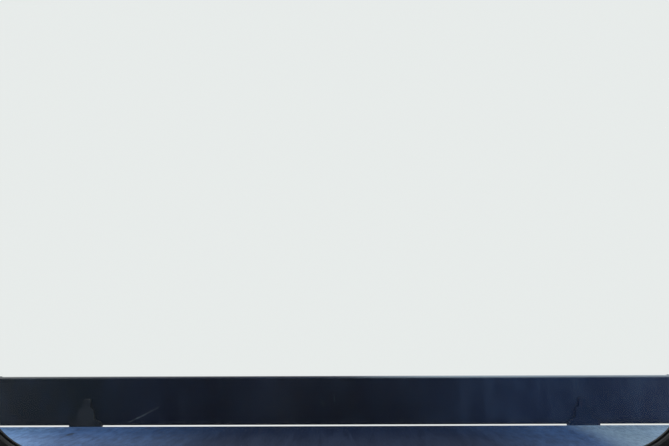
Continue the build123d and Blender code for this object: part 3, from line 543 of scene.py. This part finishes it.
def chrome_finish(name):
    """Chromed steel with water marks."""
    finish = Finish(name)
    marks = finish.rise(finish.clouds(60, 6), 0.55, 0.75)
    colour = finish.blend(shade(214, 217, 220), shade(196, 198, 200), marks)
    return finish.painted(colour, 0.10 + marks * 0.12, {"Metallic": 1.0})


def wiper_finish():
    """Black stove enamel, slightly faded and rubbed along its edges."""
    finish = Finish("wiper_metal")
    fade = finish.rise(finish.clouds(18, 5), 0.35, 0.75)
    colour = finish.blend(shade(20, 21, 23), shade(44, 46, 49), fade)
    worn = finish.wear(0.0015, 90, 0.48, 0.60)
    colour = finish.blend(colour, shade(130, 132, 134), worn * 0.6)
    normal = finish.bump(finish.clouds(600, 2), 0.10, 0.0003)
    return finish.painted(colour, 0.38 + fade * 0.2, {"Normal": normal})


def zinc_finish():
    """Zinc-plated fasteners, gone dull and slightly yellow."""
    finish = Finish("zinc")
    dull = finish.rise(finish.clouds(120, 4), 0.40, 0.66)
    colour = finish.blend(shade(176, 178, 178), shade(136, 133, 124), dull)
    return finish.painted(colour, 0.28 + dull * 0.3, {"Metallic": 1.0})


def lining_finish():
    """Light grey laminate with a fine printed fleck and a few scuffs."""
    finish = Finish("lining")
    fleck = finish.rise(finish.cells(260), 0.18, 0.10)
    cloud = finish.clouds(3, 4)
    colour = finish.blend(shade(183, 183, 178), shade(188, 188, 183), finish.rise(cloud, 0.35, 0.65))
    colour = finish.blend(colour, shade(146, 148, 146), fleck * 0.5)
    scuff = finish.rise(finish.clouds(26, 6, (1, 1, 0.3)), 0.64, 0.76)
    colour = finish.blend(colour, shade(150, 148, 142), scuff * 0.22)
    normal = finish.bump(finish.clouds(350, 3), 0.10, 0.0004)
    return finish.painted(colour, 0.48 + scuff * 0.2, {"Normal": normal})


def board_finish():
    """Dark moulded board with a leather-like grain, polished where hands rest."""
    finish = Finish("board")
    grain = finish.cells(420)
    rubbed = finish.rise(finish.clouds(5, 4), 0.42, 0.68)
    colour = finish.blend(shade(38, 39, 41), shade(52, 53, 55), rubbed)
    normal = finish.bump(grain, 0.35, 0.0008)
    return finish.painted(colour, 0.62 - rubbed * 0.16, {"Normal": normal})


def floor_finish():
    """Pale studio floor that runs out into the background, keeping the shadow near the car."""
    finish = Finish("studio_floor")
    pale = (PALE, PALE, PALE, 1)
    matt = finish.node("BsdfDiffuse", {}, {"Color": pale})["BSDF"]
    glow = finish.node("Emission", {}, {"Color": pale, "Strength": 1.0})["Emission"]
    distance = (finish.x * finish.x + finish.y * finish.y) ** 0.5
    far = finish.rise(distance, *FLOOR_FADE)
    mixed = finish.node("MixShader", {}, {0: far * seen(finish), 1: matt, 2: glow})["Shader"]
    return finish.show(mixed)


def seen(finish):
    """1 on rays that show the background: straight from the camera, mirrored, or through glass."""
    path = finish.node("LightPath")
    direct = path["Is Camera Ray"].highest(path["Is Glossy Ray"])
    return direct.highest(path["Is Transmission Ray"])


def make_world():
    """Even light from all round, and a pale background on the rays that show it."""
    world = bpy.data.worlds.new("studio")
    world.use_nodes = True
    sky = Finish("studio", world)
    strength = LIGHT_LEVEL + (PALE - LIGHT_LEVEL) * seen(sky)
    back = sky.node("Background", {}, {"Color": (1, 1, 1, 1), "Strength": strength})["Background"]
    sky.node("OutputWorld", {}, {"Surface": back})
    bpy.context.scene.world = world


def make_floor(level):
    """A round floor at the lowest point of the car's end."""
    mesh = bpy.data.meshes.new("floor")
    shape = bmesh.new()
    bmesh.ops.create_circle(shape, cap_ends=True, radius=FLOOR_RADIUS, segments=96)
    shape.to_mesh(mesh)
    shape.free()
    floor = bpy.data.objects.new("floor", mesh)
    floor.location.z = level
    bpy.context.scene.collection.objects.link(floor)
    mesh.materials.append(floor_finish())


def make_lamp(name, place, power, size):
    """A square soft light aimed at the middle of the object."""
    data = bpy.data.lights.new(name, "AREA")
    data.shape = "SQUARE"
    data.size = size
    data.energy = power
    lamp = bpy.data.objects.new(name, data)
    lamp.location = place
    aim = (cad_box[0] + cad_box[1]) / 2 - lamp.location
    lamp.rotation_mode = "QUATERNION"
    lamp.rotation_quaternion = aim.to_track_quat("-Z", "Y")
    bpy.context.scene.collection.objects.link(lamp)


def make_camera():
    data = bpy.data.cameras.new("camera")
    data.sensor_width = SENSOR
    data.lens = FOCAL_PIXELS / PICTURE_WIDTH * SENSOR
    camera = bpy.data.objects.new("camera", data)
    ahead = Vector((sin(YAW) * cos(PITCH), cos(YAW) * cos(PITCH), sin(PITCH)))
    across = Vector((cos(YAW), -sin(YAW), 0))
    up = across.cross(ahead)
    right = across * cos(ROLL) + up * sin(ROLL)
    top = up * cos(ROLL) - across * sin(ROLL)
    turn = Matrix((right, top, -ahead)).transposed()
    camera.matrix_world = Matrix.Translation(EYE) @ turn.to_4x4()
    bpy.context.scene.collection.objects.link(camera)
    bpy.context.scene.camera = camera


def paint_nodes():
    """Gives each CAD node its finish, by the record's material slots."""
    for subpart in frame["record"]["subparts"]:
        node, slot = subpart["node"], subpart["material_slot"]
        mesh = frame["nodes"][node].data
        mesh.materials.clear()
        mesh.materials.append(finishes["bracket" if node.endswith("beam_bracket") else slot])


def square_to(axis):
    """Two directions square to an axis and to each other."""
    guide = UPWARD if abs(axis.z) < 0.9 else RIGHT
    across = axis.cross(guide).normalized()
    return across, axis.cross(across)


class Shape:
    """A mesh in the making, skinned over rings of points."""

    def __init__(self):
        self.mesh = bmesh.new()

    def skin(self, rings, looped=False):
        """Faces from each ring to the next, and either back to the first or closed at both ends."""
        made = [[self.mesh.verts.new(point) for point in ring] for ring in rings]
        following = made[1:] + made[:1] if looped else made[1:]
        for first, second in zip(made, following):
            quads = zip(first, first[1:] + first[:1], second[1:] + second[:1], second)
            for corners in quads:
                self.mesh.faces.new(corners)
        if not looped:
            self.mesh.faces.new(made[0])
            self.mesh.faces.new(made[-1])

    def turned(self, place, axis, profile, sides):
        """A turned form from pairs of radius and height along an axis."""
        across, along = square_to(axis)
        angles = [2 * pi * n / sides for n in range(sides)]
        self.skin([
            [place + axis * height + (across * cos(a) + along * sin(a)) * radius for a in angles]
            for radius, height in profile
        ])

    def swept(self, path, up, section, looped=False, swell=None):
        """A section of across and up pairs, carried along a path. Swell gives its size at a step."""
        rings = []
        for n, point in enumerate(path):
            before = path[n - 1] if looped or n else point
            after = path[(n + 1) % len(path)] if looped or n + 1 < len(path) else point
            across = (after - before).cross(up).normalized()
            size = swell(n) if swell else 1.0
            rings.append([point + (across * a + up * b) * size for a, b in section])
        self.skin(rings, looped)

    def piece(self, name, finish, slot, body="front_end", crease=CREASE):
        """Makes the object and lets it ride on a body."""
        bmesh.ops.recalc_face_normals(self.mesh, faces=self.mesh.faces)
        mesh = bpy.data.meshes.new(name)
        self.mesh.to_mesh(mesh)
        self.mesh.free()
        mesh.polygons.foreach_set("use_smooth", [True] * len(mesh.polygons))
        mesh.set_sharp_from_angle(angle=radians(crease))
        mesh.materials.append(finishes[finish])
        made = bpy.data.objects.new(name, mesh)
        bpy.context.scene.collection.objects.link(made)
        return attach(made, body)


def on_screen(x, up, out):
    """A point on the windscreen: across, up the glass, and out from its outer face."""
    return SCREEN_FOOT + RIGHT * x + SCREEN_UP * up + SCREEN_OUT * out


def on_apron(x, drop, out):
    """A point on the apron: across, down from its top edge, and out from its outer face."""
    top = Vector((x, APRON_TOP_Y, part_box("apron_panel")[1].z))
    return top + APRON_DOWN * drop + APRON_OUT * out


def spaced(start, end, count):
    """Evenly spaced values from start to end."""
    return [start + (end - start) * n / (count - 1) for n in range(count)]


def line(start, end, step):
    """Points along a straight run."""
    count = max(2, round((end - start).length / step))
    return [start.lerp(end, share) for share in spaced(0, 1, count)]


def rounded_loop(width, height, radius, steps):
    """Points round a rectangle with rounded corners, about its middle."""
    corners = (
        (width / 2 - radius, height / 2 - radius, 0),
        (radius - width / 2, height / 2 - radius, 90),
        (radius - width / 2, radius - height / 2, 180),
        (width / 2 - radius, radius - height / 2, 270),
    )
    return [
        (x + radius * cos(radians(start + turn)), y + radius * sin(radians(start + turn)))
        for x, y, start in corners
        for turn in spaced(0, 90, steps)
    ]


def half_round(width, height, steps):
    """Section of a bead that lies on a face and sits a little way into it."""
    arc = [(width / 2 * cos(radians(a)), height * sin(radians(a))) for a in spaced(0, 180, steps)]
    return arc + [(-width / 2, -height * 0.3), (width / 2, -height * 0.3)]


def ripple(amount, pitch):
    """Swell of a bead: a fine even ripple on a slower unevenness."""
    return lambda n: 1 + amount * (sin(n * pitch) + 0.5 * sin(n * 0.13 + 1) + 0.3 * sin(n * 0.041))


def shares(radius, *pairs):
    """A profile whose radii and heights are given as shares of a radius."""
    return [(radius * across, radius * up) for across, up in pairs]


def rivet(shape, place, axis, radius):
    """Low round head."""
    dome = shares(radius, (1, 0.12), (0.88, 0.38), (0.60, 0.56), (0.22, 0.64))
    shape.turned(place, axis, [(radius, -HEAD_SINK)] + dome, 16)


def button_screw(shape, place, axis, radius):
    """Low domed head with a socket."""
    dome = shares(radius, (1, 0.15), (0.90, 0.38), (0.70, 0.54), (0.46, 0.58))
    socket = shares(radius, (0.42, 0.54), (0.40, 0.22))
    shape.turned(place, axis, [(radius, -HEAD_SINK)] + dome + socket, 18)


def hex_bolt(shape, place, axis, radius):
    """Washer and chamfered hexagon head."""
    washer = shares(radius, (1.34, 0.06), (1.34, 0.20), (1.28, 0.26), (0.9, 0.26))
    shape.turned(place, axis, [(radius * 1.30, -HEAD_SINK)] + washer, 32)
    shape.turned(place, axis, shares(radius, (1, 0.2), (1, 0.84), (0.88, 0.98)), 6)
    shape.turned(place, axis, shares(radius, (0.80, 0.8), (0.80, 1.0), (0.72, 1.03)), 24)


def headed_pin(shape, middle, axis, sizes, sides):
    """Pin with a chamfered head at each end."""
    length, head, shaft, chamfer, thick = sizes
    end = [(head - chamfer, 0.0), (head, chamfer), (head, thick), (shaft, thick + PIN_NECK)]
    profile = end + [(radius, length - height) for radius, height in reversed(end)]
    shape.turned(middle - axis * (length / 2), axis, profile, sides)


def fasteners(name, kind, radius, places, finish, slot):
    """One piece of many heads, on the right side and mirrored on the left. A place is a pair of a
    point and the way that its head looks."""
    shape = Shape()
    mirrored = [(Vector((-p.x, p.y, p.z)), Vector((-a.x, a.y, a.z))) for p, a in places]
    for place, axis in places + mirrored:
        kind(shape, place, axis, radius)
    shape.piece(name, finish, slot)


def body_fasteners():
    """Rivets and screws that hold the outer sheets to the frame."""
    low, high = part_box("front_ledge")
    flange_z = low.z + FLANGE_RISE
    ledge_x = (0.10, 0.30, 0.50, 0.70, 0.94, 1.12)
    ledge = [(Vector((x, high.y, flange_z)), OUTWARD) for x in ledge_x]
    ledge += [(Vector((high.x, y, flange_z)), RIGHT) for y in (0.44, 0.58, 0.72)]
    fasteners("ledge_rivets", rivet, RIVET, ledge, "ledge_metal", "ledge_metal")
    side_x = PANEL_X - 0.0003
    apron = [(on_apron(x, 0.992, 0), APRON_OUT) for x in spaced(0.12, 1.08, 5)]
    apron += [(on_apron(side_x, drop, -SIDE_ROW), RIGHT) for drop in spaced(0.10, 0.96, 5)]
    fasteners("apron_rivets", rivet, RIVET, apron, "body_paint", "body_paint")
    top = SURROUND_TOP - 0.018
    surround = [(on_screen(x, top, SKIN_OUT), SCREEN_OUT) for x in spaced(0.10, 1.10, 6)]
    surround += [(on_screen(PANEL_X, up, SKIN_OUT - SIDE_ROW), RIGHT) for up in spaced(0.02, 1.50, 7)]
    surround += [(on_screen(1.13, up, SKIN_OUT), SCREEN_OUT) for up in spaced(0.06, 1.34, 6)]
    fasteners("surround_screws", button_screw, SURROUND_SCREW, surround, "zinc", "lamp_rim")
    rear = [(Vector((PANEL_X, 0.026, z)), RIGHT) for z in spaced(-0.02, 2.54, 12)]
    rear += [(Vector((PANEL_X, y, -0.05)), RIGHT) for y in spaced(0.14, 0.60, 4)]
    fasteners("side_panel_rivets", rivet, RIVET, rear, "body_paint", "body_paint")
    brow_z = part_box("roof_brow")[1].z
    brow = [(Vector((x, 0.024, brow_z)), UPWARD) for x in spaced(0.12, 1.14, 5)]
    fasteners("brow_rivets", rivet, RIVET, brow, "body_paint", "body_paint")


def lining_fasteners():
    """Screws of the inside panels."""
    lining_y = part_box("lower_lining")[0].y
    trim_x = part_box("right_pillar_trim")[0].x
    screws = [
        (Vector((x, lining_y, z)), -OUTWARD)
        for x in (0.05, 0.345, 0.415, 1.075)
        for z in (0.11, 0.55, 0.99)
    ]
    screws += [(Vector((trim_x, 0.034, z)), -RIGHT) for z in spaced(0.16, 2.36, 7)]
    screws += [(on_screen(trim_x, up, -0.040), -RIGHT) for up in spaced(0.12, 1.34, 4)]
    screws += [(on_screen(1.066, up, -0.018), -SCREEN_OUT) for up in spaced(0.08, 1.32, 4)]
    screws += [(on_screen(x, 1.512, -0.055), -SCREEN_OUT) for x in spaced(0.10, 1.06, 4)]
    fasteners("lining_screws", button_screw, LINING_SCREW, screws, "zinc", "lamp_rim")


def sealing():
    """Filler strip round the gasket, and the sealant at the back of the ledge."""
    strip = Shape()
    width, height = DAYLIGHT_WIDTH + 2 * STRIP_GROW, DAYLIGHT_HEIGHT + 2 * STRIP_GROW
    loop = rounded_loop(width, height, DAYLIGHT_RADIUS + STRIP_GROW, 18)
    path = [on_screen(x, y + DAYLIGHT_HEIGHT / 2, STRIP_OUT) for x, y in loop]
    strip.swept(path, SCREEN_OUT, half_round(*STRIP_BEAD, SEALANT_STEPS), looped=True)
    strip.piece("gasket_strip", "sealant", "rubber")
    sealant = Shape()
    low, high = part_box("front_ledge")
    start = Vector((low.x + 0.010, low.y + 0.001, high.z))
    end = Vector((high.x - 0.010, low.y + 0.001, high.z))
    section = half_round(*SEALANT_BEAD, SEALANT_STEPS)
    sealant.swept(line(start, end, SEALANT_STEP), UPWARD, section, swell=ripple(0.06, 0.31))
    sealant.piece("ledge_sealant", "sealant", "rubber")


def weld(shape, start, end, way, bead):
    """A rippled bead in a straight corner. Way is where its face looks."""
    path = line(start, end, WELD_STEP)
    section = half_round(*bead, WELD_STEPS)
    shape.swept(path, way.normalized(), section, swell=ripple(0.10, 1.3))


def plate_welds(shape, x, y, low_z, high_z, bead):
    """Upright beads in the two corners of a plate that stands square on a face."""
    for side in (-1, 1):
        edge = x + side * PLATE_HALF
        start, end = Vector((edge, y, low_z)), Vector((edge, y, high_z))
        weld(shape, start, end, OUTWARD + RIGHT * side, bead)


def cap_weld(shape, x, low, high):
    """A bead round the beam, along the joint with its end cap."""
    middle = (low + high) / 2
    corners = [
        Vector((x, middle.y + y, middle.z + z))
        for y, z in rounded_loop(high.y - low.y, high.z - low.z, BEAM_CORNER, CORNER_STEPS)
    ]
    path = []
    for here, there in zip(corners, corners[1:] + corners[:1]):
        steps = max(1, round((there - here).length / WELD_STEP))
        path += [here.lerp(there, n / steps) for n in range(steps)]
    section = half_round(*CAP_BEAD, WELD_STEPS)
    swell = ripple(0.08, 1.3)
    nearly = high.y - middle.y - 0.0001
    rings = []
    for n, point in enumerate(path):
        reach = point - middle
        way = (OUTWARD * reach.y if abs(reach.y) > nearly else UPWARD * reach.z).normalized()
        rings.append([point + (RIGHT * a + way * b) * swell(n) for a, b in section])
    shape.skin(rings, looped=True)


def beam_details():
    """Welds of the end caps, and the brackets' bolts and welds."""
    low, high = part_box("guard_beam")
    caps = Shape()
    for x in (low.x, high.x):
        cap_weld(caps, x, low, high)
    caps.piece("cap_welds", "beam_paint", "beam_paint")
    bolts, seams = Shape(), Shape()
    seat = low.z - SEAT_DROP
    for side in ("left", "right"):
        foot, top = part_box(side + "_beam_bracket")
        x = (foot.x + top.x) / 2
        for reach in (-BRACKET_BOLT_X, BRACKET_BOLT_X):
            place = Vector((x + reach, low.y, foot.z + BRACKET_BOLT_RISE))
            hex_bolt(bolts, place, OUTWARD, BRACKET_BOLT)
        start, end = Vector((x - SEAT_HALF, low.y, seat)), Vector((x + SEAT_HALF, low.y, seat))
        weld(seams, start, end, OUTWARD - UPWARD, SEAT_BEAD)
        plate_welds(seams, x, low.y, foot.z + FOOT_THICK, seat - SEAT_GAP, FOOT_BEAD)
    bolts.piece("bracket_bolts", "zinc", "lamp_rim")
    seams.piece("bracket_welds", "bracket", "beam_paint")


def frame_welds():
    """Fillet welds where the sill meets the pillars and the gussets meet the posts."""
    seams = Shape()
    sill_low, sill_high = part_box("sill_beam")
    for x, way in ((sill_low.x, RIGHT), (sill_high.x, -RIGHT)):
        start, end = [Vector((x, y, sill_high.z)) for y in SILL_WELD_Y]
        weld(seams, start, end, UPWARD + way, SILL_BEAD)
    low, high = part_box("ledge_gussets")
    for x in (-GUSSET_X, GUSSET_X):
        plate_welds(seams, x, low.y, low.z + GUSSET_GAP, high.z - GUSSET_GAP, GUSSET_BEAD)
    seams.piece("frame_welds", "weld", "frame_paint")


def lens_height(radius):
    """Height of the lens's outer face at a radius: a dome with a flat edge round it."""
    if radius > LENS_ROOT:
        return LENS_OUT
    size = (LENS_ROOT**2 + LENS_RISE**2) / (2 * LENS_RISE)
    return LENS_OUT + LENS_RISE - size + (size**2 - radius**2) ** 0.5


def bowl_profile(radius):
    """A quarter circle, from the hole at the bottom of a bowl to its edge."""
    return [(radius * sin(radians(a)), -radius * cos(radians(a))) for a in spaced(BOWL_HOLE, 90, 26)]


def headlamp(side, x):
    """Reflector, bulb and fluted lens of one lamp, and the screws of its rim."""
    middle = on_apron(x, LAMP_DROP, 0)
    up = -APRON_DOWN
    angles = [2 * pi * n / 120 for n in range(120)]

    def ring(radius, out, flutes=0.0):
        """Points round the lamp's axis, lower in the flutes."""
        return [
            middle
            + RIGHT * radius * cos(a)
            + up * radius * sin(a)
            + APRON_OUT * (out - flutes * abs(sin(pi * radius * cos(a) / FLUTE_PITCH)))
            for a in angles
        ]

    def part(name, profile, finish, slot, looped=False, crease=CREASE):
        """A piece turned round the lamp's axis, from the radius and height of each ring."""
        shape = Shape()
        shape.skin([ring(*step) for step in profile], looped)
        return shape.piece(side + name, finish, slot, crease=crease)

    dome = (LENS_TIP, *spaced(0.006, LENS_ROOT, 13), LENS_ROOT + 0.0015, LENS_RADIUS - 0.0006)
    face = [(r, lens_height(r)) for r in dome]
    rim = [(LENS_RADIUS, LENS_OUT - 0.0008), (LENS_RADIUS, LENS_BACK), (LENS_SEAT, LENS_BACK)]
    inner = spaced(LENS_ROOT - 0.002, 0.004, 40)
    back = [(r, lens_height(r) - LENS_THICK, FLUTE_DEPTH) for r in inner]
    tip = [(LENS_TIP, lens_height(0) - LENS_THICK)]
    made = part("_fluted_lens", face + rim + back + tip, "lamp_glass", "lamp_glass", crease=LENS_CREASE)
    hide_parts(side + "_headlamp_lens")

    lip = [(BOWL_RADIUS, BOWL_LIP), (BOWL_RADIUS + BOWL_WALL, BOWL_LIP)]
    profile = bowl_profile(BOWL_RADIUS) + lip + bowl_profile(BOWL_RADIUS + BOWL_WALL)[::-1]
    part("_reflector", profile, "lamp_metal", "lamp_metal", looped=True)

    collar = (
        (0.0135, 0.0002), (0.0135, 0.004), (0.0115, 0.006),
        (0.0100, 0.006), (0.0100, 0.011), (0.0088, 0.012),
    )
    part("_bulb_collar", [(r, BULB_FOOT + out) for r, out in collar], "zinc", "lamp_rim")
    bulb = (
        (0.0072, 0.011), (0.0076, 0.014), (0.0105, 0.022), (0.0122, 0.029),
        (0.0118, 0.035), (0.0096, 0.0405), (0.0062, 0.0440), (0.0024, 0.0458),
    )
    part("_bulb", [(r, BULB_FOOT + out) for r, out in bulb], "bulb_glass", "lamp_glass")

    screws = Shape()
    for turn in (90, 210, 330):
        way = RIGHT * cos(radians(turn)) + up * sin(radians(turn))
        button_screw(screws, middle + way * RIM_REACH + APRON_OUT * RIM_OUT, APRON_OUT, RIM_SCREW)
    screws.piece(side + "_rim_screws", "zinc", "lamp_rim")


def wiper_details():
    """Hub nut, hinge pin and spring of the arm, and the pins of the blade's yokes."""
    reach = hypot(BLADE_X - WIPER_X, BLADE_UP - WIPER_UP)
    along = (RIGHT * (BLADE_X - WIPER_X) + SCREEN_UP * (BLADE_UP - WIPER_UP)) / reach
    side = SCREEN_OUT.cross(along)
    hub = on_screen(WIPER_X, WIPER_UP, HUB_OUT)
    washer = [(0.0125, -HEAD_SINK), (0.0128, 0.0006), (0.0125, 0.0014), (0.0085, 0.0015)]
    nut = [(0.0095, 0.0010), (0.0095, 0.0062), (0.0084, 0.0072)]
    cap = [(0.0074, 0.0060), (0.0070, 0.0095), (0.0052, 0.0122), (0.0022, 0.0134)]
    metal = Shape()
    for profile, sides in ((washer, 28), (nut, 6), (cap, 22)):
        metal.turned(hub, SCREEN_OUT, profile, sides)
    pin = on_screen(WIPER_X, WIPER_UP, ARM_PIN_OUT) + along * ARM_PIN_ALONG
    headed_pin(metal, pin, side, ARM_PIN, 18)
    for x in (-YOKE_PIN_X, YOKE_PIN_X):
        pin = on_screen(BLADE_X + x, BLADE_UP, YOKE_PIN_OUT)
        headed_pin(metal, pin, SCREEN_UP, YOKE_PIN, 14)
    metal.piece("wiper_pins", "zinc", "wiper_metal", "wiper")

    start = on_screen(WIPER_X, WIPER_UP, SPRING_OUT) + along * SPRING_ALONG
    corners = [radians(60 * n) for n in range(6)]
    rings = []
    for step in range(SPRING_TURNS * SPRING_STEPS + 1):
        angle = 2 * pi * step / SPRING_STEPS
        way = side * cos(angle) + SCREEN_OUT * sin(angle)
        place = start + along * (SPRING_PITCH * step / SPRING_STEPS) + way * SPRING_RADIUS
        rings.append([place + (way * cos(t) + along * sin(t)) * SPRING_WIRE for t in corners])
    coil = Shape()
    coil.skin(rings)
    coil.piece("wiper_spring", "zinc", "wiper_metal", "wiper")


def main():
    bpy.context.scene.view_settings.view_transform = "Standard"
    paint_nodes()
    body_fasteners()
    lining_fasteners()
    sealing()
    beam_details()
    frame_welds()
    headlamp("left", -LAMP_X)
    headlamp("right", LAMP_X)
    wiper_details()
    make_world()
    make_floor(cad_box[0].z)
    for lamp in STUDIO_LAMPS:
        make_lamp(*lamp)
    make_camera()


finishes = {
    "frame_paint": frame_finish(),
    "body_paint": body_finish(cad_box[0].z),
    "ledge_metal": ledge_finish(),
    "beam_paint": beam_finish(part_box("guard_beam")[0]),
    "bracket": bracket_finish(),
    "weld": weld_finish(),
    "rubber": rubber_finish(),
    "sealant": sealant_finish(),
    "glass": glass_finish("glass", 0.002, 0.6, (0.965, 0.985, 0.978, 1)),
    "lamp_metal": reflector_finish(),
    "lamp_rim": chrome_finish("lamp_rim"),
    "lamp_glass": glass_finish("lamp_glass", 0.035, 0.8, (0.97, 0.98, 0.98, 1), 0.30),
    "bulb_glass": glass_finish("bulb_glass", 0.05, 0.8, (0.93, 0.94, 0.95, 1)),
    "zinc": zinc_finish(),
    "wiper_metal": wiper_finish(),
    "lining": lining_finish(),
    "board": board_finish(),
}
main()
